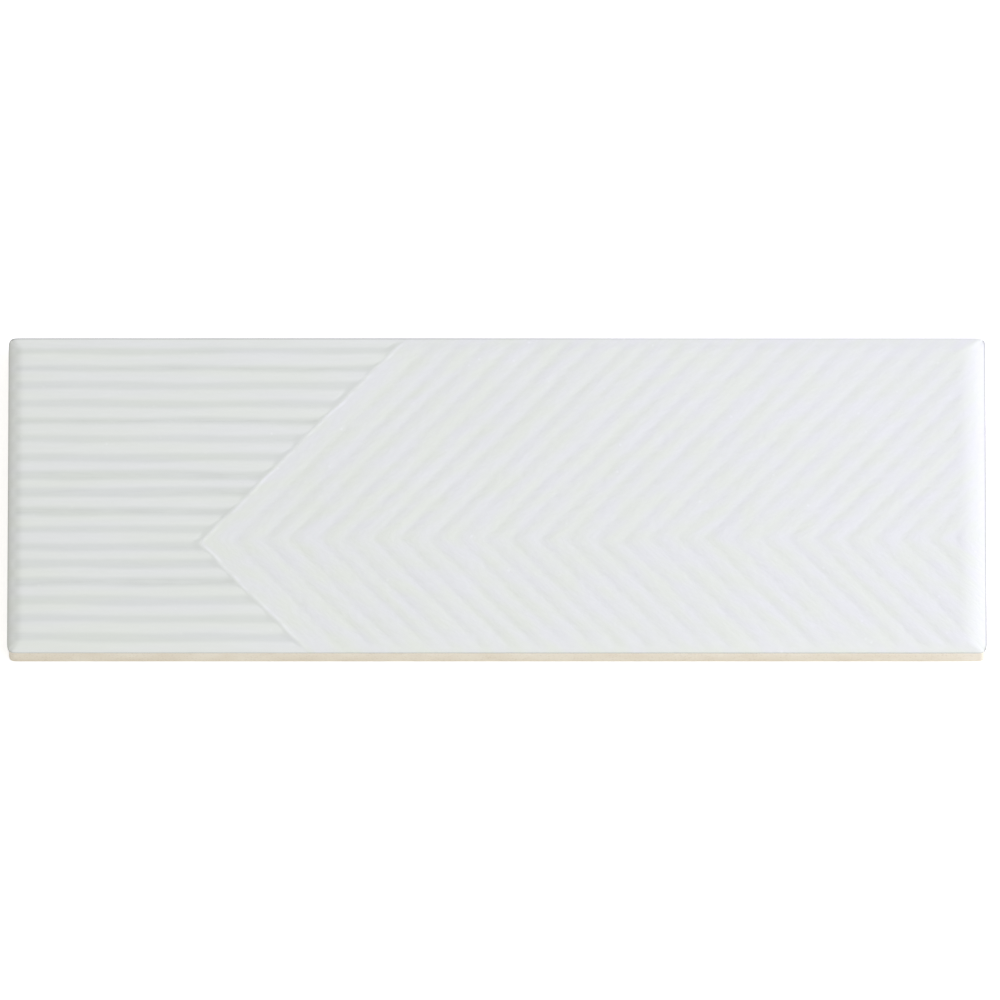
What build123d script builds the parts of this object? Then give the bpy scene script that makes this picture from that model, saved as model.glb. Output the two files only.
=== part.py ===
from build123d import *
import math
import os

os.makedirs("parts", exist_ok=True)

# Overall size of the fired tile in millimetres. It lies on its back, face up.
length = 300.0
width = 101.0
thickness = 12.0
corner_radius = 2.2

# Cushion edge around the face: its reach in from the sides and its drop.
cushion_reach = 5.0
cushion_drop = 1.35

# The glaze ends below the cushion edge in a lip that stands proud of the bare sides.
lip_overhang = 0.4
lip_height = 0.5

# Arrow that parts the two relief fields: its tip and the slope of its arms.
tip_from_left_end = 59.2
tip_from_front_side = 34.9
arm_angle = 46.2

# Straight grooves of the left field, side by side across the width.
straight_pitch = 5.78
straight_top_width = 3.4
straight_floor_width = 2.3
straight_depth = 0.3

# Chevron grooves of the right field, spaced along the fold line from behind the tip.
fold_from_front_side = 36.1
chevron_step = 8.5
chevron_first = 10.6
chevron_top_width = 3.6
chevron_floor_width = 0.8
chevron_depth = 0.2

# Keying pockets pressed into the back.
pocket_columns = 16
pocket_rows = 5
pocket_border = 6.0
pocket_rib = 2.5
pocket_depth = 0.6
pocket_corner = 1.8
pocket_taper = 20.0

# Places on the face.
tip_x = tip_from_left_end - length / 2
tip_y = tip_from_front_side - width / 2
fold_y = fold_from_front_side - width / 2
arm_slope = math.tan(math.radians(arm_angle))
arm_sine = math.sin(math.radians(arm_angle))
arm_cosine = math.cos(math.radians(arm_angle))

# Cutters stand a little proud of the face and reach past the outline.
proud = 0.2
past = 2.0
straight_flare = (straight_top_width - straight_floor_width) / 2 / straight_depth
straight_floor_half = straight_floor_width / 2
straight_top_half = straight_top_width / 2 + proud * straight_flare
chevron_flare = (chevron_top_width - chevron_floor_width) / 2 / chevron_depth
chevron_floor_half = chevron_floor_width / 2
chevron_top_half = chevron_top_width / 2 + proud * chevron_flare

# Numbers of grooves that fit.
straight_each_side = int((width / 2 - straight_top_width) / straight_pitch)
straight_count = 2 * straight_each_side + 1
chevron_reach = length / 2 - cushion_reach - tip_x - chevron_first
chevron_count = int(chevron_reach / chevron_step) + 1

# Straight grooves, ended by the border of the arrow.
front_border_x = tip_x + (tip_y + width / 2 + past) / arm_slope
rear_border_x = tip_x + (width / 2 + past - tip_y) / arm_slope
with BuildPart() as straight_grooves:
    with BuildSketch(Plane.YZ.offset(-length / 2 - past)):
        with Locations((0, thickness)):
            with GridLocations(straight_pitch, 1, straight_count, 1):
                Polygon(
                    (-straight_floor_half, -straight_depth),
                    (straight_floor_half, -straight_depth),
                    (straight_top_half, proud),
                    (-straight_top_half, proud),
                    align=None,
                )
    extrude(amount=length)
    with BuildSketch(Plane.XY.offset(thickness - straight_depth - past)):
        Polygon(
            (-length / 2 - past, -width / 2 - past),
            (front_border_x, -width / 2 - past),
            (tip_x, tip_y),
            (rear_border_x, width / 2 + past),
            (-length / 2 - past, width / 2 + past),
            align=None,
        )
    extrude(amount=straight_depth + 2 * past, mode=Mode.INTERSECT)

# Chevron grooves: the rear arms are drawn, ended at the fold and mirrored there.
arm_plane = Plane(
    origin=(tip_x, fold_y, thickness),
    x_dir=(-arm_sine, arm_cosine, 0),
    z_dir=(arm_cosine, arm_sine, 0),
)
with BuildPart() as chevron_grooves:
    with BuildSketch(arm_plane):
        for index in range(chevron_count):
            with Locations((-(chevron_first + index * chevron_step) * arm_sine, 0)):
                Polygon(
                    (-chevron_floor_half, -chevron_depth),
                    (chevron_floor_half, -chevron_depth),
                    (chevron_top_half, proud),
                    (-chevron_top_half, proud),
                    align=None,
                )
    extrude(amount=length + width, both=True)
    with BuildSketch(Plane.XY.offset(thickness - chevron_depth - past)):
        with Locations((0, fold_y)):
            Rectangle(4 * length, width + past, align=(Align.CENTER, Align.MIN))
    extrude(amount=chevron_depth + 2 * past, mode=Mode.INTERSECT)
    mirror(about=Plane(origin=(0, fold_y, 0), z_dir=(0, 1, 0)))

# Bare sides below the glaze, and the two levels between which the lip flares out.
bare_length = length - 2 * lip_overhang
bare_width = width - 2 * lip_overhang
edge_level = thickness - cushion_drop
lip_level = edge_level - lip_height
lip_flare = math.degrees(math.atan(lip_overhang / lip_height))

# Pockets of the back fill the area inside the border evenly.
pocket_length = (length - 2 * pocket_border + pocket_rib) / pocket_columns - pocket_rib
pocket_width = (width - 2 * pocket_border + pocket_rib) / pocket_rows - pocket_rib

with BuildPart() as tile:
    # Bare body, the lip that flares out from it, and the glazed top over the lip.
    with BuildSketch(Plane.XY):
        RectangleRounded(bare_length, bare_width, corner_radius - lip_overhang)
    extrude(amount=lip_level)
    with BuildSketch(Plane.XY.offset(lip_level)):
        RectangleRounded(bare_length, bare_width, corner_radius - lip_overhang)
    extrude(amount=lip_height, taper=-lip_flare)
    with BuildSketch(Plane.XY.offset(edge_level)):
        RectangleRounded(length, width, corner_radius)
    extrude(amount=cushion_drop)
    # Cushion edge of the two ends.
    with BuildSketch(Plane.XZ):
        with BuildLine():
            left_wall = Line((-length / 2, 0), (-length / 2, edge_level))
            left_roll = EllipticalCenterArc(
                (-length / 2 + cushion_reach, edge_level),
                cushion_reach,
                cushion_drop,
                start_angle=90,
                arc_size=90,
            )
            top_line = Line((-length / 2 + cushion_reach, thickness), (length / 2 - cushion_reach, thickness))
            right_roll = EllipticalCenterArc(
                (length / 2 - cushion_reach, edge_level),
                cushion_reach,
                cushion_drop,
                start_angle=0,
                arc_size=90,
            )
            right_wall = Line((length / 2, edge_level), (length / 2, 0))
            base_line = Line((length / 2, 0), (-length / 2, 0))
        make_face()
    extrude(amount=width, both=True, mode=Mode.INTERSECT)
    # Cushion edge of the two long sides.
    with BuildSketch(Plane.YZ):
        with BuildLine():
            front_wall = Line((-width / 2, 0), (-width / 2, edge_level))
            front_roll = EllipticalCenterArc(
                (-width / 2 + cushion_reach, edge_level),
                cushion_reach,
                cushion_drop,
                start_angle=90,
                arc_size=90,
            )
            ridge_line = Line((-width / 2 + cushion_reach, thickness), (width / 2 - cushion_reach, thickness))
            rear_roll = EllipticalCenterArc(
                (width / 2 - cushion_reach, edge_level),
                cushion_reach,
                cushion_drop,
                start_angle=0,
                arc_size=90,
            )
            rear_wall = Line((width / 2, edge_level), (width / 2, 0))
            foot_line = Line((width / 2, 0), (-width / 2, 0))
        make_face()
    extrude(amount=length, both=True, mode=Mode.INTERSECT)
    # Relief of the face.
    add(straight_grooves.part, mode=Mode.SUBTRACT)
    add(chevron_grooves.part, mode=Mode.SUBTRACT)
    # Keying pockets of the back.
    with BuildSketch(Plane.XY):
        with GridLocations(pocket_length + pocket_rib, pocket_width + pocket_rib, pocket_columns, pocket_rows):
            Rectangle(pocket_length, pocket_width)
        chamfer(vertices(), length=pocket_corner)
    extrude(amount=pocket_depth, taper=pocket_taper, mode=Mode.SUBTRACT)

tile.part.label = "tile"
export_step(tile.part, "parts/tile.step")
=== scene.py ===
import math

import bpy
import numpy as np
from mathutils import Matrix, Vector


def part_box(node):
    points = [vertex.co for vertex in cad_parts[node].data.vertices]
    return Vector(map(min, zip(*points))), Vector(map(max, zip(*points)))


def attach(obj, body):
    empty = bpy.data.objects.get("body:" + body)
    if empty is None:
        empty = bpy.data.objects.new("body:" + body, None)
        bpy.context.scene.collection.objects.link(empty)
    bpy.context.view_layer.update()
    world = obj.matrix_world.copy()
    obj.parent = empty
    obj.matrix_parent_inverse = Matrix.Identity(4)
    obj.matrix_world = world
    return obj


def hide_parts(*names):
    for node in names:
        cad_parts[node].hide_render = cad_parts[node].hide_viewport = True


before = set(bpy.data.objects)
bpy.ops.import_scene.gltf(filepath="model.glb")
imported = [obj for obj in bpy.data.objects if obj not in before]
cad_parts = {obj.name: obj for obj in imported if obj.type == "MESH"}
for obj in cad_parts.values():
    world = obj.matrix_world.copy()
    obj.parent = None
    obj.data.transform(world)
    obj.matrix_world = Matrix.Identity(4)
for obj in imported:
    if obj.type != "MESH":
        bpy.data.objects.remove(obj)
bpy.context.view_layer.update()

# All shapes are worked out in millimetres and turned into metres when a mesh is made.
MM = 0.001
low, high = (np.array(corner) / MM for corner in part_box("tile"))
LENGTH, WIDTH, THICKNESS = high - low
HALF_LENGTH = LENGTH / 2
HALF_WIDTH = WIDTH / 2

# Cushion edge of the face: a slow fall and a tight turn at its end, drawn in at the corners. At the
# right end the fall starts further in and settles to an even slope.
ROLL_REACH = 4.8
ROLL_FALL = 1.12
ROLL_POWER = 2.0
ROLL_JOIN = 6.0
TURN_REACH = 0.4
RIGHT_TURN_REACH = 0.16
TURN_DROP = 0.2
CORNER_POWER = 5.0
RIGHT_REACH = 9.5
RIGHT_SLOPE = 0.25

# Stretch of the rolled edge, as a share of its reach, over which the relief dies away.
RELIEF_END = (0.4, 0.85)

# The glaze's lip over the bare sides. It hangs lower towards the right end.
LIP_INSET = 0.4
LIP_HEIGHT = 0.65
LIP_LEAN = 0.3
LIP_WAVER = 0.1
LIP_WAVES = (13, 29, 47, 83)
LIP_BENDS = (30, 60, 90)

# Bare sides: how close under the lip they start, a level half way down, and the arris at the foot.
UNDER_LIP = 0.25
HALF_WAY = 5.0
ARRIS = 0.45
ARRIS_MIDDLE = 0.13

# Painted shade greys the glaze at its rim, from this share of the rolled edge outwards: more, and more
# widely, at the right end and at the rear, where it pales to the right.
RIM_SHADE, RIM_START = 1.6, 0.94
RIGHT_RIM_SHADE, RIGHT_RIM_START = 2.6, 0.85
REAR_RIM_SHADE, REAR_RIM_START = 2.2, 0.81
REAR_PALE_START = -60.0
REAR_PALE_REACH = 190.0
REAR_PALING = 0.8
RIM_FULL = 0.99
CORNER_BLEND = 4.0

# Arrow that parts the two fields of relief, with a thin raised crest behind its border that carries a painted
# highlight.
TIP_X = 59.2 - HALF_LENGTH
TIP_Y = 34.9 - HALF_WIDTH
ARM_ANGLE = math.radians(46.2)
FOLD_ROUNDING = 0.4
BORDER_RISE = 3.4
BORDER_EDGE = 0.8
BORDER_WAVER = 0.28
CREST_PLACE = 0.6
CREST_WIDTH = 0.5
CREST_HEIGHT = 0.013
CREST_MEAN = 0.75
CREST_SPREAD = 0.55
CREST_LIMITS = (0.05, 1.5)

# Straight grooves of the left field. They bow a little towards the rear in the middle.
STRAIGHT_PITCH = 5.74
STRAIGHT_BOW = 0.55
BOW_POWER = 4
STRAIGHT_LAST = 8
STRAIGHT_WIDTH = 2.6
STRAIGHT_BANK = 1.4
STRAIGHT_DEPTH = 0.14
STRAIGHT_WAVER = 0.2
WIDTH_SPREAD = 0.26
WIDTH_SWELLING = 0.09
RIDGE_TAPER = 2.2
RIDGE_GAP = 0.3
RIDGE_GAP_SPREAD = 0.9

# Chevron grooves of the right field.
FOLD_Y = 36.1 - HALF_WIDTH
CHEVRON_STEP = 8.5
CHEVRON_FIRST = 10.6
CHEVRON_HALF = 4.0
CHEVRON_BOTTOM = 0.55
CHEVRON_DEPTH = 0.092
CHEVRON_WAVER = 0.3
CHEVRON_OFFSET = 0.7
FOLD_BLEND = 2.4
RIGHT_FADE_START = 10.0
RIGHT_FADE_END = 6.0

# Strength of the chevron grooves: its mean, its spread from groove to groove and along each one.
CHEVRON_STRENGTH = (0.9, 0.2, 0.4)
STRENGTH_LIMITS = (0.3, 1.6)

# Slow swells of the whole face, along the length and across it, each a little slanted.
SWELL_HEIGHT = 0.03
LONG_SLANT = 0.4
CROSS_SLANT = 0.3

# The glaze's pooling on straight floors, with its spread, and on chevron floors, and the painted highlight
# that takes pooling away on the crest.
FLOOR_POOL = 0.95
FLOOR_POOL_SPREAD = 0.14
CHEVRON_POOL = 0.12
# Pooling taken off along the crest paints a highlight there.
CREST_HIGHLIGHT = 0.5

# What wanders: the lengths of its waves and the seed of the places where they start.
STRAIGHT_RUN = ((120, 53), 3)
WIDTH_RUN = ((71, 33), 7)
FRONT_RUN = ((47, 19, 8, 3.1), 17)
REAR_RUN = ((53, 21, 9, 3.7), 19)
STRENGTH_RUN = ((37, 11, 4.3, 2.3), 29)
BORDER_RUN = ((47, 17, 7), 13)
CREST_RUN = ((23, 8, 3.1), 31)
LONG_SWELL = ((83, 37), 37)
CROSS_SWELL = ((61, 29), 41)

# Seeds of what differs from one groove to the next.
STRAIGHT_SEED = 43
WIDTH_SEED = 5
GAP_SEED = 11
POOL_SEED = 47
FRONT_SEED = 53
REAR_SEED = 59
STRENGTH_SEED = 61
LINE_COUNT = 64

# Mesh fineness.
ROW_STEP = 0.56
FINE_STEP = 0.62
FINE_MARGIN = 3.0
COARSE_STEP = 2.6
EDGE_STEPS = 14
SNAP = 0.25
MERGE_DIGITS = 3
TINY = 1e-9


def smooth(t):
    """0 below 0, 1 above 1, and an S-curve between: 3 t squared less 2 t cubed."""
    t = np.clip(t, 0, 1)
    return t * t * (3 - 2 * t)


def wander(line, along, lengths, seed):
    """Uneven run of a hand-cut line, about -1 to 1: sines of the given lengths along it,
    each line starting them at its own places."""
    starts = np.random.default_rng(seed).uniform(0, 2 * np.pi, (len(lengths), LINE_COUNT))
    index = np.asarray(line).astype(int) % LINE_COUNT
    waves = [np.sin(2 * np.pi * along / length + start[index]) for length, start in zip(lengths, starts)]
    return sum(waves) / len(lengths) ** 0.5


def own(line, seed):
    """One number from -1 to 1 for each line."""
    numbers = np.random.default_rng(seed).uniform(-1, 1, LINE_COUNT)
    return numbers[np.asarray(line).astype(int) % LINE_COUNT]


def behind_tip(x, y, fold):
    """Distance along the length behind an arrow with its tip at the given place across the width:
    x less the tip less the sideways distance over the arm's slope, rounded at the fold."""
    sideways = np.hypot(y - fold, FOLD_ROUNDING) - FOLD_ROUNDING
    return x - TIP_X - sideways / math.tan(ARM_ANGLE)


def straight_field(x, y, behind):
    """Straight grooves, 0 on ridges and 1 on floors: once as depth, which rises slowly towards the
    border, and once as the glaze's pooling, which ends there. Each groove lies at its multiple of
    the pitch in the bowed measure across, and wanders; its banks are S-curves. Ridges pinch out
    just before the border."""
    level = (y - STRAIGHT_BOW * (1 - (y / HALF_WIDTH) ** BOW_POWER)) / STRAIGHT_PITCH
    groove = np.clip(np.round(level), -STRAIGHT_LAST, STRAIGHT_LAST)
    run = wander(groove, x, *STRAIGHT_RUN) + own(groove, STRAIGHT_SEED)
    across = (level - groove) * STRAIGHT_PITCH - STRAIGHT_WAVER * run
    share = 1 + WIDTH_SPREAD * own(groove, WIDTH_SEED) + WIDTH_SWELLING * wander(groove, x, *WIDTH_RUN)
    width = STRAIGHT_WIDTH * share
    gap = RIDGE_GAP + RIDGE_GAP_SPREAD * own(np.floor(level), GAP_SEED)
    pinch = smooth((behind + gap + RIDGE_TAPER) / RIDGE_TAPER)
    half = width / 2 + (STRAIGHT_PITCH / 2 + STRAIGHT_BANK - width / 2) * pinch
    down = smooth((half + STRAIGHT_BANK / 2 - np.abs(across)) / STRAIGHT_BANK)
    floor_pool = FLOOR_POOL + FLOOR_POOL_SPREAD * own(groove, POOL_SEED)
    depth = down * (1 - smooth((behind + BORDER_RISE) / BORDER_RISE))
    return depth, down * floor_pool * (1 - smooth((behind + BORDER_EDGE) / BORDER_EDGE))


def chevron_field(x, y):
    """Share of depth in the chevron grooves: the square of one less the distance from the bottom
    over the half width, the bottom a little rounded. The two arms of a groove lie and wander each
    in its own way and are drawn together over a short stretch at the fold."""
    behind = behind_tip(x, y, FOLD_Y)
    groove = np.maximum(np.round((behind - CHEVRON_FIRST) / CHEVRON_STEP), 0)
    rear = smooth((y - FOLD_Y) / FOLD_BLEND + 0.5)
    front_run = CHEVRON_OFFSET * own(groove, FRONT_SEED) + CHEVRON_WAVER * wander(groove, y, *FRONT_RUN)
    rear_run = CHEVRON_OFFSET * own(groove, REAR_SEED) + CHEVRON_WAVER * wander(groove, y, *REAR_RUN)
    away = behind - CHEVRON_FIRST - groove * CHEVRON_STEP - front_run - (rear_run - front_run) * rear
    away = np.hypot(away, CHEVRON_BOTTOM) - CHEVRON_BOTTOM
    share = np.clip(1 - away / CHEVRON_HALF, 0, 1) ** 2
    mean, between, along = CHEVRON_STRENGTH
    strength = mean + between * own(groove, STRENGTH_SEED) + along * wander(groove, y, *STRENGTH_RUN)
    fade = smooth((HALF_LENGTH - x - RIGHT_FADE_END) / (RIGHT_FADE_START - RIGHT_FADE_END))
    return share * np.clip(strength, *STRENGTH_LIMITS) * fade


def roll_drop(ends, sides, open_x):
    """Drop of the cushion edge at its shares of the reach. Left, front and rear fall with a power of
    the share; the right end's slope grows as an S-curve, u cubed less half of u to the fourth once
    summed up. They are joined by a power sum. A quarter of an ellipse ends them all, tighter at the
    right end."""
    at_left = np.where(open_x < 0, ends, 0)
    u = np.clip((open_x - HALF_LENGTH) / RIGHT_REACH + 1, 0, 1)
    falls = (ROLL_FALL * at_left**ROLL_POWER, ROLL_FALL * sides**ROLL_POWER,
             RIGHT_SLOPE * RIGHT_REACH * (u**3 - u**4 / 2))
    fall = sum(f**ROLL_JOIN for f in falls) ** (1 / ROLL_JOIN)
    end_reach = np.where(open_x < 0, TURN_REACH, RIGHT_TURN_REACH)
    turns = ((ends - 1) * ROLL_REACH / end_reach + 1, (sides - 1) * ROLL_REACH / TURN_REACH + 1)
    turn = np.clip(np.maximum(*turns), 0, 1)
    return fall + TURN_DROP * (1 - np.sqrt(1 - turn * turn))


def rim_painted_shade(x, y, ends, sides):
    """Painted shade at the rim: an S-curve of the edge's share from its start outwards, to the most at
    that side. The starts and strengths of neighbouring sides are blended over the corners."""
    on_side = smooth((sides - ends) * CORNER_BLEND + 0.5)
    rear_shade = REAR_RIM_SHADE * (1 - REAR_PALING * smooth((x - REAR_PALE_START) / REAR_PALE_REACH))
    side_start = np.where(y > 0, REAR_RIM_START, RIM_START)
    side_shade = np.where(y > 0, rear_shade, RIM_SHADE)
    end_start = np.where(x > 0, RIGHT_RIM_START, RIM_START)
    end_shade = np.where(x > 0, RIGHT_RIM_SHADE, RIM_SHADE)
    start = end_start + (side_start - end_start) * on_side
    most = end_shade + (side_shade - end_shade) * on_side
    return most * smooth((np.maximum(ends, sides) - start) / (RIM_FULL - start))


def face_height(x, y, ends, sides, open_x):
    """Height of the face, the glaze's pooling with its painted light, and the run of the tool. The height is
    the thickness less the drop of the roll, the relief, which dies away on the roll, and a slow swell.
    Pooling is about 1 on straight floors and 0 on ridges; a painted highlight takes it lower on the crest,
    and painted shade takes it higher at the very edge. The run is the way along the nearest cut, the way
    across it, and 1 behind the border or 0 before it."""
    behind = behind_tip(x, y, TIP_Y) + BORDER_WAVER * wander(0, y, *BORDER_RUN)
    straight, pooled = straight_field(x, y, behind)
    chevron = chevron_field(x, y)
    edge = np.maximum(ends, sides)
    start, end = RELIEF_END
    kept = 1 - smooth((edge - start) / (end - start))
    crest = np.exp(-(((behind - CREST_PLACE) / CREST_WIDTH) ** 2))
    crest = crest * np.clip(CREST_MEAN + CREST_SPREAD * wander(1, y, *CREST_RUN), *CREST_LIMITS) * kept
    long_swell = wander(2, x + LONG_SLANT * y, *LONG_SWELL)
    cross_swell = wander(3, y - CROSS_SLANT * x, *CROSS_SWELL)
    swell = 0.5 + long_swell / 4 + cross_swell / 4
    relief = (STRAIGHT_DEPTH * straight + CHEVRON_DEPTH * chevron) * kept
    cut = relief + SWELL_HEIGHT + SWELL_HEIGHT * swell
    height = THICKNESS - roll_drop(ends, sides, open_x) - cut + CREST_HEIGHT * crest
    # Besides the glaze's pooling, this carries painted light: a painted highlight taken off on the crest and
    # painted shade added at the rim.
    pooling_and_painted_light = (pooled + CHEVRON_POOL * chevron) * kept - CREST_HIGHLIGHT * crest + rim_painted_shade(x, y, ends, sides)
    on_arms = (behind > 0).astype(float)
    along = x / STRAIGHT_STRETCH + (y / math.sin(ARM_ANGLE) - x / STRAIGHT_STRETCH) * on_arms
    across = y + (behind_tip(x, y, FOLD_Y) * math.sin(ARM_ANGLE) - y) * on_arms
    return np.minimum(height, THICKNESS), pooling_and_painted_light, np.stack((along, across, on_arms), axis=-1)


def face_plan():
    """Places of the face's grid, rows across the width and columns along the length. Columns lean
    with the arrow's arms. In the rolled edge both are spaced by sines, and in the corners they are
    drawn in so that the outline is a rounded one. Gives the places, the shares of the two rolls and
    the way along the length before it is drawn in."""
    share = np.sin(np.linspace(0, np.pi / 2, EDGE_STEPS + 1))[1:]
    flat_x = HALF_LENGTH - ROLL_REACH
    flat_y = HALF_WIDTH - ROLL_REACH
    front_rows = np.linspace(-flat_y, FOLD_Y, round((FOLD_Y + flat_y) / ROW_STEP) + 1)
    rear_rows = np.linspace(FOLD_Y, flat_y, round((flat_y - FOLD_Y) / ROW_STEP) + 1)[1:]
    flat_rows = np.concatenate((front_rows, rear_rows))
    rows = np.concatenate((-flat_y - ROLL_REACH * share[::-1], flat_rows, flat_y + ROLL_REACH * share))
    row_share = np.concatenate((share[::-1], 0 * flat_rows, share))[:, None]

    lean = (np.hypot(rows - FOLD_Y, FOLD_ROUNDING) - FOLD_ROUNDING) / math.tan(ARM_ANGLE)
    fine_start = -RIDGE_TAPER - FINE_MARGIN
    coarse = np.arange(fine_start, -flat_x - TIP_X - lean.max(), -COARSE_STEP)[::-1]
    fine = np.arange(fine_start + FINE_STEP, flat_x - TIP_X, FINE_STEP)
    columns = np.concatenate((coarse, fine))
    x = TIP_X + columns[None, :] + lean[:, None]
    x = np.where(x < -flat_x + SNAP, -flat_x, np.where(x > flat_x - SNAP, flat_x, x))
    rolled = ROLL_REACH * (np.ones((len(rows), 1)) * share[None, :])
    x = np.hstack((-flat_x - rolled[:, ::-1], x, flat_x + rolled))
    y = rows[:, None] + 0 * x
    column_share = np.concatenate((share[::-1], 0 * columns, share))[None, :]

    ends = column_share + 0 * x
    sides = row_share + 0 * x
    reach = np.maximum((ends**CORNER_POWER + sides**CORNER_POWER) ** (1 / CORNER_POWER), TINY)
    draw = np.where((ends > 0) & (sides > 0), np.maximum(ends, sides) / reach, 1)
    drawn_x = np.where(ends > 0, np.sign(x) * (flat_x + ROLL_REACH * ends * draw), x)
    drawn_y = np.where(sides > 0, np.sign(y) * (flat_y + ROLL_REACH * sides * draw), y)
    return drawn_x, drawn_y, ends, sides, x


def grid_quads(index):
    """Quads between neighbouring rows and columns of a grid of vertex numbers, facing up."""
    corners = (index[:-1, :-1], index[:-1, 1:], index[1:, 1:], index[1:, :-1])
    return np.stack([c.ravel() for c in corners], axis=1)


def strip_quads(upper, lower):
    """Quads between two closed loops that run anticlockwise seen from above, facing outwards."""
    return np.stack((upper, lower, np.roll(lower, -1), np.roll(upper, -1)), axis=1)


def loop_turn(points):
    """Place of each point round a loop, as a turn from 0 to 1 measured in the tile's proportions."""
    turn = np.arctan2(points[:, 1] / HALF_WIDTH, points[:, 0] / HALF_LENGTH) / (2 * np.pi)
    return turn % 1


def ring_triangles(outer, inner, outer_points, inner_points):
    """Triangles between an outer and an inner closed loop in one level, facing down. Round both
    loops together, each edge is joined to the point of the other loop that was passed last."""
    outer_turn, inner_turn = loop_turn(outer_points), loop_turn(inner_points)
    outer, outer_turn = np.roll(outer, -outer_turn.argmin()), np.sort(outer_turn)
    inner, inner_turn = np.roll(inner, -inner_turn.argmin()), np.sort(inner_turn)
    outer_end = np.append(outer_turn[1:], outer_turn[0] + 1)
    inner_end = np.append(inner_turn[1:], inner_turn[0] + 1)
    last_inner = np.searchsorted(inner_end, outer_end, side="left") % len(inner)
    last_outer = np.searchsorted(outer_end, inner_end, side="right") % len(outer)
    on_outer = np.stack((outer, inner[last_inner], np.roll(outer, -1)), axis=1)
    on_inner = np.stack((inner, np.roll(inner, -1), outer[last_outer]), axis=1)
    return np.concatenate((on_outer, on_inner))


# Keying pockets of the back.
POCKET_COLUMNS = 16
POCKET_ROWS = 5
POCKET_BORDER = 6.0
POCKET_RIB = 2.5
POCKET_DEPTH = 0.6
POCKET_CORNER = 1.8
CORNER_DRAW = 0.35
POCKET_WALL = 0.35


def pocket_lines(extent, count):
    """Lines across one direction of the back: for each pocket its outline, its floor's edge and the
    start of its cut corners, and the same again on its other side. Gives the lines, how far
    each lies inside its pocket, and the way to the pocket's middle."""
    pocket = (extent - 2 * POCKET_BORDER + POCKET_RIB) / count - POCKET_RIB
    inside = np.array([0, POCKET_WALL, POCKET_WALL + POCKET_CORNER])
    centre = (np.arange(count) - (count - 1) / 2)[:, None] * (pocket + POCKET_RIB)
    lines = centre + np.concatenate((inside - pocket / 2, pocket / 2 - inside[::-1]))
    depth = np.tile(np.concatenate((inside, inside[::-1])), count)
    way = np.tile(np.repeat([1, -1], 3), count)
    return lines.ravel(), depth, way


def back_grid():
    """Places of the back's grid: level ribs at 0 and pockets with sloped walls and cut corners."""
    x_lines, x_in, x_way = pocket_lines(LENGTH, POCKET_COLUMNS)
    y_lines, y_in, y_way = pocket_lines(WIDTH, POCKET_ROWS)
    x, y = np.meshgrid(x_lines, y_lines)
    inside = np.minimum(x_in[None, :], y_in[:, None])
    z = POCKET_DEPTH * (inside > 0)
    at_corner = (x_in[None, :] < POCKET_WALL + POCKET_CORNER) & (y_in[:, None] < POCKET_WALL + POCKET_CORNER)
    on_both = (x_in[None, :] == y_in[:, None]) & at_corner
    draw = np.where(on_both, POCKET_CORNER * CORNER_DRAW, 0)
    return x + draw * x_way[None, :], y + draw * y_way[:, None], z


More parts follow.
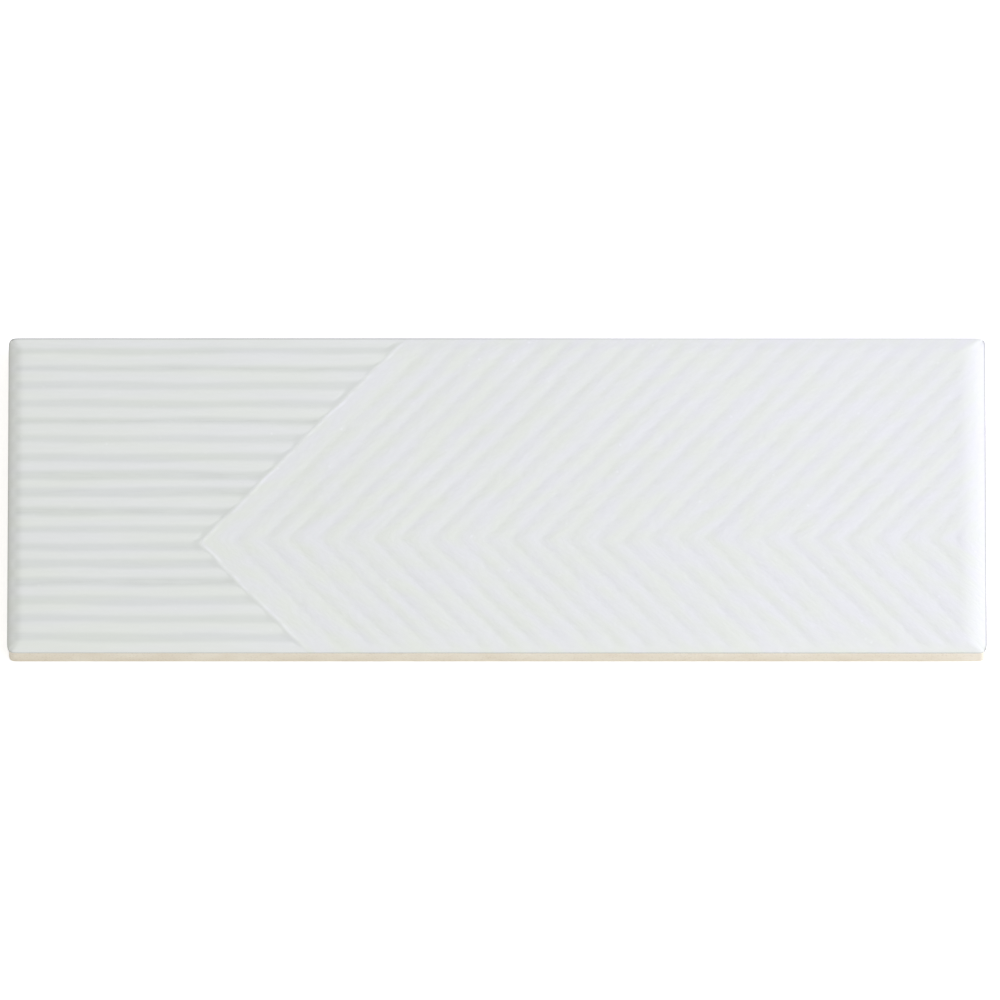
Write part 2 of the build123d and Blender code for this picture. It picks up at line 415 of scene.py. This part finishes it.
def tile_surface():
    """The whole closed surface: face, glaze lip, bare side, arris and keyed back. Gives the points,
    quads, triangles, each face's material number, each point's pooling with its painted highlight and rim
    shade, and its run of the tool."""
    x, y, ends, sides, open_x = face_plan()
    z, pooling_and_painted_light, run = face_height(x, y, ends, sides, open_x)
    keys = np.round(np.stack((x.ravel(), y.ravel()), axis=1), MERGE_DIGITS)
    first, number = np.unique(keys, axis=0, return_index=True, return_inverse=True)[1:]
    number = number.reshape(x.shape)
    points = [np.stack((x.ravel()[first], y.ravel()[first], z.ravel()[first]), axis=1)]
    pooling_and_painted_light_values = [pooling_and_painted_light.ravel()[first]]
    runs = [run.reshape(-1, 3)[first]]
    top = grid_quads(number)

    rim = np.concatenate((number[0, :-1], number[:-1, -1], number[-1, :0:-1], number[:0:-1, 0]))
    rim = rim[rim != np.roll(rim, 1)]
    rim_points = points[0][rim]
    along = np.roll(rim_points, -1, axis=0) - np.roll(rim_points, 1, axis=0)
    outward = np.stack((along[:, 1], -along[:, 0]), axis=1)
    outward /= np.linalg.norm(outward, axis=1, keepdims=True)
    travel = np.concatenate(([0], np.cumsum(np.linalg.norm(np.diff(rim_points[:, :2], axis=0), axis=1))))
    girth = travel[-1] + np.linalg.norm(rim_points[0, :2] - rim_points[-1, :2])
    waver = sum(np.sin(2 * np.pi * travel * waves / girth + waves) for waves in LIP_WAVES) / 2

    lip_level = rim_points[:, 2]
    lip_low = lip_level - LIP_HEIGHT - LIP_LEAN * rim_points[:, 0] / HALF_LENGTH + LIP_WAVER * waver
    bend = np.radians(LIP_BENDS)
    levels = [(LIP_INSET * (1 - math.cos(b)), lip_level + (lip_low - lip_level) * math.sin(b)) for b in bend]
    levels.append((LIP_INSET, lip_low - UNDER_LIP))
    below = ((0, HALF_WAY), (0, ARRIS), (ARRIS_MIDDLE, ARRIS_MIDDLE), (ARRIS, 0))
    levels += [(LIP_INSET + inset, height + 0 * waver) for inset, height in below]
    loops = [rim]
    count = len(points[0])
    for inset, level in levels:
        plan = rim_points[:, :2] - outward * inset
        points.append(np.column_stack((plan, level)))
        pooling_and_painted_light_values.append(0 * level)
        runs.append(0 * points[-1])
        loops.append(count + np.arange(len(rim)))
        count += len(rim)
    strips = [strip_quads(upper, lower) for upper, lower in zip(loops[:-1], loops[1:])]
    glazed_side = np.concatenate(strips[: len(bend)])
    bare_side = np.concatenate(strips[len(bend):])

    back_x, back_y, back_z = back_grid()
    back = count + np.arange(back_x.size).reshape(back_x.shape)
    back_points = np.stack((back_x.ravel(), back_y.ravel(), back_z.ravel()), axis=1)
    points.append(back_points)
    pooling_and_painted_light_values.append(0 * back_points[:, 0])
    runs.append(0 * back_points)
    under = grid_quads(back)[:, ::-1]
    inner = np.concatenate((back[0, :-1], back[:-1, -1], back[-1, :0:-1], back[:0:-1, 0]))
    ring = ring_triangles(loops[-1], inner, points[-2], back_points[inner - count])

    quads = np.concatenate((top, glazed_side, bare_side, under))
    finish = np.concatenate((np.zeros(len(top) + len(glazed_side)), np.ones(len(bare_side) + len(under))))
    return np.concatenate(points), quads, ring, finish, np.concatenate(pooling_and_painted_light_values), np.concatenate(runs)


def split_quads(quads, finish):
    """Parts true quads from those with two corners at one point, which become triangles, and
    drops those with less."""
    same = quads == np.roll(quads, -1, axis=1)
    doubled = same.sum(axis=1)
    once = quads[doubled == 1]
    kept = ~same[doubled == 1]
    return quads[doubled == 0], finish[doubled == 0], once[kept].reshape(-1, 3), finish[doubled == 1]


# Edges that turn by more than this stay sharp.
SHARP_TURN = math.radians(38)


def make_tile(glaze, biscuit):
    """Puts the surface into one mesh with its two materials, the pooling with its painted highlight and rim
    shade, and the run of the tool.
    """
    points, quads, ring, finish, pooling_and_painted_light, run = tile_surface()
    quads, quad_finish, triangles, triangle_finish = split_quads(quads, finish)
    faces = quads.tolist() + triangles.tolist() + ring.tolist()
    numbers = np.concatenate((quad_finish, triangle_finish, np.ones(len(ring)))).astype(np.int32)
    mesh = bpy.data.meshes.new("glazed_tile")
    mesh.from_pydata(points * MM, [], faces)
    mesh.materials.append(glaze)
    mesh.materials.append(biscuit)
    mesh.polygons.foreach_set("material_index", numbers)
    pooling_and_painted_light_values = mesh.attributes.new("pooling_and_painted_light", "FLOAT", "POINT")
    pooling_and_painted_light_values.data.foreach_set("value", pooling_and_painted_light.astype(np.float32))
    runs = mesh.attributes.new("run", "FLOAT_VECTOR", "POINT")
    runs.data.foreach_set("vector", run.ravel().astype(np.float32))
    mesh.polygons.foreach_set("use_smooth", np.ones(len(faces), dtype=bool))
    mesh.set_sharp_from_angle(angle=SHARP_TURN)
    mesh.update()
    tile = bpy.data.objects.new("glazed_tile", mesh)
    bpy.context.collection.objects.link(tile)
    return tile


class Nodes:
    """Short ways to add and join nodes of one tree."""

    def __init__(self, tree):
        self.tree = tree

    def add(self, kind, settings=None, **inputs):
        node = self.tree.nodes.new(kind)
        for name, value in (settings or {}).items():
            setattr(node, name, value)
        for name, value in inputs.items():
            socket = node.inputs[int(name[1:])] if name[0] == "_" else node.inputs[name.replace("_", " ")]
            if isinstance(value, bpy.types.NodeSocket):
                self.tree.links.new(value, socket)
            else:
                socket.default_value = value
        return node

    def work_out(self, operation, *values):
        """Result of one sum on numbers or sockets."""
        inputs = {f"_{place}": value for place, value in enumerate(values)}
        return self.add("ShaderNodeMath", {"operation": operation}, **inputs).outputs[0]

    def spread(self, value, low=0.0, high=1.0, start=0.0, end=1.0):
        """The value's stretch from start to end, laid out from low to high and held there."""
        return self.add("ShaderNodeMapRange", Value=value, From_Min=start, From_Max=end,
                        To_Min=low, To_Max=high).outputs["Result"]

    def noise(self, place, scale, detail):
        """Soft noise about one half at a place."""
        return self.add("ShaderNodeTexNoise", Vector=place, Scale=scale, Detail=detail).outputs["Fac"]

    def mix(self, share, first, second, blend="MIX"):
        """The first colour, changed by the second to the given share."""
        return self.add("ShaderNodeMix", {"data_type": "RGBA", "blend_type": blend},
                        _0=share, _6=first, _7=second).outputs[2]

    def place(self):
        """The place on the tile."""
        return self.add("ShaderNodeTexCoord").outputs["Object"]


def new_group(name, inputs, outputs):
    """An empty shader node group with float inputs, each with its usual value, and outputs."""
    group = bpy.data.node_groups.new(name, "ShaderNodeTree")
    for label, value in inputs.items():
        group.interface.new_socket(label, in_out="INPUT", socket_type="NodeSocketFloat").default_value = value
    for label in outputs:
        group.interface.new_socket(label, in_out="OUTPUT", socket_type="NodeSocketFloat")
    nodes = Nodes(group)
    return group, nodes, nodes.add("NodeGroupInput"), nodes.add("NodeGroupOutput")


def kiln_clouding():
    """Node group: broad soft clouds with finer ones in them, 0 to 1, as firing leaves in colour."""
    group, nodes, given, out = new_group("kiln_clouding", {"Size": 0.03, "Fineness": 3.0}, ["Cloud"])
    scale = nodes.work_out("DIVIDE", 1.0, given.outputs["Size"])
    noise = nodes.noise(nodes.place(), scale, given.outputs["Fineness"])
    group.links.new(nodes.spread(noise, start=0.3, end=0.7), out.inputs["Cloud"])
    return group


def fired_pits():
    """Node group: small round spots at scattered places, 1 in a spot's middle and 0 between, for
    pinholes, painted highlights of bright specks in glaze, and pores in biscuit."""
    group, nodes, given, out = new_group("fired_pits", {"Spacing": 0.004, "Reach": 0.1}, ["Pit"])
    scale = nodes.work_out("DIVIDE", 1.0, given.outputs["Spacing"])
    cells = nodes.add("ShaderNodeTexVoronoi", Vector=nodes.place(), Scale=scale)
    pit = nodes.spread(cells.outputs["Distance"], low=1.0, high=0.0, end=given.outputs["Reach"])
    group.links.new(pit, out.inputs["Pit"])
    return group


def new_material(name):
    """A material with an empty tree, its node maker and its surface output."""
    material = bpy.data.materials.new(name)
    material.use_nodes = True
    material.node_tree.nodes.clear()
    nodes = Nodes(material.node_tree)
    return material, nodes, nodes.add("ShaderNodeOutputMaterial")


# Colours of the glaze from its painted highlight white, through its ridge and pool, to its painted rim shade,
# its two tints, and the biscuit.
# This white is a painted highlight for the crest and the bright specks; the palest clouds lean towards it
# too.
PALE_CLOUD_AND_HIGHLIGHT_WHITE = (0.815, 0.830, 0.775, 1)
RIDGE_WHITE = (0.760, 0.775, 0.708, 1)
POOL_GREY = (0.685, 0.705, 0.640, 1)
# The two greys below are painted shade along the glaze's rim; the first also darkens the deepest pooling a
# little.
ARRIS_SHADE_GREY = (0.56, 0.57, 0.52, 1)
RIM_SHADE_GREY = (0.38, 0.385, 0.36, 1)
LEAF_TINT = (0.992, 1.0, 0.969, 1)
LILAC_TINT = (1.0, 0.988, 1.032, 1)
BISCUIT_LIGHT = (0.89, 0.825, 0.68, 1)
BISCUIT_DARK = (0.83, 0.75, 0.60, 1)
PORE_BROWN = (0.5, 0.38, 0.27, 1)

# Marks that the tool left along its cuts, and patches of tint, in millimetres. Both are drawn out
# further in the straight field, and lie in other places on the two sides of the border.
MARK_LENGTH = 2.3
MARK_BREADTH = 1.1
TINT_LENGTH = 11.0
TINT_BREADTH = 5.5
STRAIGHT_STRETCH = 4.5
FIELD_SHIFT = 40.0

# Pooling, with its painted highlight and rim shade, at the two ends of the glaze's colour ramp. Its other
# stops lie at 0, 1 and 1.5.
POOL_LOW = -0.5
POOL_HIGH = 2.5

# Shares of pooling that clouds and marks add or take away, and that bright specks take away as painted
# highlights.
CLOUD_STIR = (-0.13, -0.01)
MARK_STIR = 0.14
# The bright specks take pooling away: small painted highlights.
SPECK_HIGHLIGHT = -0.6

# Tint's strength before and behind the border.
TINT_BEFORE = 0.6
TINT_BEHIND = 1.0

# Roughness of the glaze, and what the rim adds over the stretch of its painted shade.
GLAZE_ROUGHNESS = (0.10, 0.16)
RIM_ROUGHNESS = 0.5
RIM_ROUGH_STRETCH = (1.1, 2.1)

# Spots: their spacing in metres and their reach as a share of it.
PINHOLES = (0.013, 0.012)
SPECKS = (0.0071, 0.085)
PORES = (0.0012, 0.35)

# Clouds: their size in metres and their fineness.
GLAZE_CLOUDS = (0.022, 4.0)
BISCUIT_CLOUDS = (0.009, 6.0)

# Shade of the pores, and the biscuit's roughness.
PORE_SHADE = 0.35
BISCUIT_ROUGHNESS = (0.8, 1.0)

# How many ripples of the glaze and grains of the biscuit come to a metre.
RIPPLES = 420.0
GRAINS = 2600.0

# Heights that go into the bump, as shares of its distance.
PINHOLE_DEPTH = -1.5
MARK_HEIGHT = 0.9
PORE_DEPTH = -1.0


def drawn_out(nodes, run, length, breadth, detail):
    """Noise drawn out along the tool's cuts, 0 to 1, of the given length and breadth."""
    scale = (1 / length, 1 / breadth, FIELD_SHIFT)
    drawn = nodes.add("ShaderNodeVectorMath", {"operation": "MULTIPLY"}, _0=run, _1=scale)
    return nodes.spread(nodes.noise(drawn.outputs["Vector"], 1.0, detail), start=0.35, end=0.65)


def cloud_over(nodes, clouding, size, fineness):
    """Clouds of the given size and fineness."""
    clouds = nodes.add("ShaderNodeGroup", {"node_tree": clouding}, Size=size, Fineness=fineness)
    return clouds.outputs["Cloud"]


def scatter(nodes, pits, spacing, reach):
    """Spots of the given spacing and reach."""
    spots = nodes.add("ShaderNodeGroup", {"node_tree": pits}, Spacing=spacing, Reach=reach)
    return spots.outputs["Pit"]


def glaze_material(clouding, pits):
    """Off-white glaze: darker where it pools, with a painted highlight on the crest and small painted
    highlights for specks, painted shade grey at the rim, and duller there, lightly clouded and tinted, with
    the tool's marks under it, a soft ripple and rare pinholes."""
    material, nodes, out = new_material("white_glaze")
    pooling_and_painted_light = nodes.add("ShaderNodeAttribute", {"attribute_name": "pooling_and_painted_light"}).outputs["Fac"]
    run = nodes.add("ShaderNodeAttribute", {"attribute_name": "run"}).outputs["Vector"]
    marks = drawn_out(nodes, run, MARK_LENGTH, MARK_BREADTH, 2.0)
    cloud = cloud_over(nodes, clouding, *GLAZE_CLOUDS)

    specked = nodes.work_out("MULTIPLY_ADD", scatter(nodes, pits, *SPECKS), SPECK_HIGHLIGHT, pooling_and_painted_light)
    clouded = nodes.work_out("ADD", specked, nodes.spread(cloud, *CLOUD_STIR))
    marked = nodes.work_out("MULTIPLY_ADD", marks, MARK_STIR, clouded)
    # The ramp runs from painted highlight white through the glaze's own ridge and pool colours to painted
    # shade grey at the rim.
    ramp = nodes.add("ShaderNodeValToRGB", Fac=nodes.spread(marked, start=POOL_LOW, end=POOL_HIGH))
    stops = ramp.color_ramp.elements
    stops[0].color = PALE_CLOUD_AND_HIGHLIGHT_WHITE
    stops[1].color = RIM_SHADE_GREY
    stops.new(1 / 6).color = RIDGE_WHITE
    stops.new(1 / 2).color = POOL_GREY
    stops.new(2 / 3).color = ARRIS_SHADE_GREY

    hue = drawn_out(nodes, run, TINT_LENGTH, TINT_BREADTH, 1.0)
    tint = nodes.mix(hue, LEAF_TINT, LILAC_TINT)
    on_arms = nodes.add("ShaderNodeSeparateXYZ", Vector=run).outputs["Z"]
    tinted = nodes.spread(on_arms, TINT_BEFORE, TINT_BEHIND)
    colour = nodes.mix(tinted, ramp.outputs["Color"], tint, "MULTIPLY")

    start, end = RIM_ROUGH_STRETCH
    gloss = nodes.spread(cloud, *GLAZE_ROUGHNESS)
    rough = nodes.work_out("ADD", gloss, nodes.spread(pooling_and_painted_light, high=RIM_ROUGHNESS, start=start, end=end))
    ripple = nodes.noise(nodes.place(), RIPPLES, 2.0)
    pitted = nodes.work_out("MULTIPLY_ADD", scatter(nodes, pits, *PINHOLES), PINHOLE_DEPTH, ripple)
    cut = nodes.work_out("MULTIPLY_ADD", marks, MARK_HEIGHT, pitted)
    bump = nodes.add("ShaderNodeBump", Strength=0.35, Distance=0.00006, Height=cut)
    shader = nodes.add("ShaderNodeBsdfPrincipled", Base_Color=colour, Roughness=rough, IOR=1.5,
                   Normal=bump.outputs["Normal"])
    material.node_tree.links.new(shader.outputs["BSDF"], out.inputs["Surface"])
    return material


def biscuit_material(clouding, pits):
    """Bare buff biscuit: dry, clouded and speckled, with fine open pores."""
    material, nodes, out = new_material("bare_biscuit")
    cloud = cloud_over(nodes, clouding, *BISCUIT_CLOUDS)
    pore = scatter(nodes, pits, *PORES)
    grain = nodes.noise(nodes.place(), GRAINS, 3.0)
    clouded = nodes.mix(cloud, BISCUIT_DARK, BISCUIT_LIGHT)
    colour = nodes.mix(nodes.spread(pore, high=PORE_SHADE), clouded, PORE_BROWN)
    rough = nodes.spread(grain, *BISCUIT_ROUGHNESS)
    height = nodes.work_out("MULTIPLY_ADD", pore, PORE_DEPTH, grain)
    bump = nodes.add("ShaderNodeBump", Strength=0.5, Distance=0.00015, Height=height)
    shader = nodes.add("ShaderNodeBsdfPrincipled", Base_Color=colour, Roughness=rough, IOR=1.45,
                   Normal=bump.outputs["Normal"])
    material.node_tree.links.new(shader.outputs["BSDF"], out.inputs["Surface"])
    return material


def seen_directly(nodes):
    """1 for rays from the camera, and for rays mirrored or let through by the object."""
    rays = nodes.add("ShaderNodeLightPath").outputs
    either = nodes.work_out("MAXIMUM", rays["Is Camera Ray"], rays["Is Glossy Ray"])
    return nodes.work_out("MAXIMUM", either, rays["Is Transmission Ray"])


# Floor: its side in metres, how far it lies under the tile, its colour and its glow.
FLOOR_SIZE = 12.0
FLOOR_CLEARANCE = 0.00005
FLOOR_WHITE = (0.86, 0.86, 0.86, 1)
FLOOR_GLOW = 0.55


def make_floor():
    """A pale floor under the tile that keeps its shadow and reads as white to the camera."""
    material, nodes, out = new_material("studio_floor")
    matt = nodes.add("ShaderNodeBsdfDiffuse", Color=FLOOR_WHITE)
    strength = nodes.work_out("MULTIPLY", seen_directly(nodes), FLOOR_GLOW)
    glow = nodes.add("ShaderNodeEmission", Color=(1, 1, 1, 1), Strength=strength)
    lit = nodes.add("ShaderNodeAddShader", _0=matt.outputs[0], _1=glow.outputs[0])
    material.node_tree.links.new(lit.outputs[0], out.inputs["Surface"])
    x, y = (side.ravel() for side in np.meshgrid((-0.5, 0.5), (-0.5, 0.5)))
    corners = np.column_stack((x, y, 0 * x)) * FLOOR_SIZE - (0, 0, FLOOR_CLEARANCE)
    mesh = bpy.data.meshes.new("floor")
    mesh.from_pydata(corners, [], [(0, 1, 3, 2)])
    mesh.materials.append(material)
    floor = bpy.data.objects.new("floor", mesh)
    bpy.context.collection.objects.link(floor)
    return floor


# Light that comes evenly from all round.
WORLD_LIGHT = 0.533

# Lamps: name, side angle and height angle in degrees, distance and two sides in metres, watts, colour.
LAMPS = (
    ("right_light", 0, 30, 4.0, (2.0, 1.3), 128, (0.95, 1.0, 1.04)),
    ("right_fill", 15, 38, 0.75, (0.5, 0.4), 1.09, (0.43, 0.29, 1.0)),
    ("front_light", -52, 22, 0.9, (0.6, 0.3), 1.33, (1.0, 1.0, 1.0)),
    ("rear_light", 90, 35, 2.4, (1.4, 0.8), 1.8, (1.0, 1.0, 1.0)),
)


def make_world():
    """Even pale light from all round, white where it is seen directly."""
    world = bpy.data.worlds.new("studio")
    world.use_nodes = True
    world.node_tree.nodes.clear()
    nodes = Nodes(world.node_tree)
    strength = nodes.spread(seen_directly(nodes), low=WORLD_LIGHT)
    sky = nodes.add("ShaderNodeBackground", Color=(1, 1, 1, 1), Strength=strength)
    world.node_tree.links.new(sky.outputs[0], nodes.add("ShaderNodeOutputWorld").inputs["Surface"])
    bpy.context.scene.world = world


def soft_box(name, side_angle, height_angle, distance, size, power, colour):
    """An oblong lamp that faces the tile, that far from it. The side angle turns from +X towards +Y."""
    data = bpy.data.lights.new(name, "AREA")
    data.shape = "RECTANGLE"
    data.size, data.size_y = size
    data.energy = power
    data.color = colour
    lamp = bpy.data.objects.new(name, data)
    side, up = math.radians(side_angle), math.radians(height_angle)
    away = np.array((math.cos(side) * math.cos(up), math.sin(side) * math.cos(up), math.sin(up)))
    lamp.location = away * distance
    lamp.rotation_mode = "QUATERNION"
    lamp.rotation_quaternion = Vector(away).to_track_quat("Z", "Y")
    lamp.visible_camera = False
    bpy.context.collection.objects.link(lamp)


# Camera: a long lens that looks down on the face, tilted a little towards the front side.
TILT = math.radians(17.0)
LENS = 1000.0
SENSOR = 36.0
VIEW_WIDTH = 306.58
AIM = (0.905, -1.89)


def make_camera():
    """A camera that far away on the tilted line of sight that the frame takes in the view's width."""
    data = bpy.data.cameras.new("photo_view")
    data.lens = LENS
    data.sensor_width = SENSOR
    distance = LENS / SENSOR * VIEW_WIDTH
    aim = np.array((*AIM, THICKNESS))
    place = aim + distance * np.array((0, -math.sin(TILT), math.cos(TILT)))
    data.clip_end = 3 * distance * MM
    camera = bpy.data.objects.new("photo_view", data)
    camera.location = place * MM
    camera.rotation_euler = (TILT, 0, 0)
    bpy.context.collection.objects.link(camera)
    bpy.context.scene.camera = camera


clouding = kiln_clouding()
pits = fired_pits()
tile = make_tile(glaze_material(clouding, pits), biscuit_material(clouding, pits))
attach(tile, "root")
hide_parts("tile")

floor = make_floor()
make_world()
for lamp in LAMPS:
    soft_box(*lamp)
make_camera()
bpy.context.scene.view_settings.view_transform = "Standard"
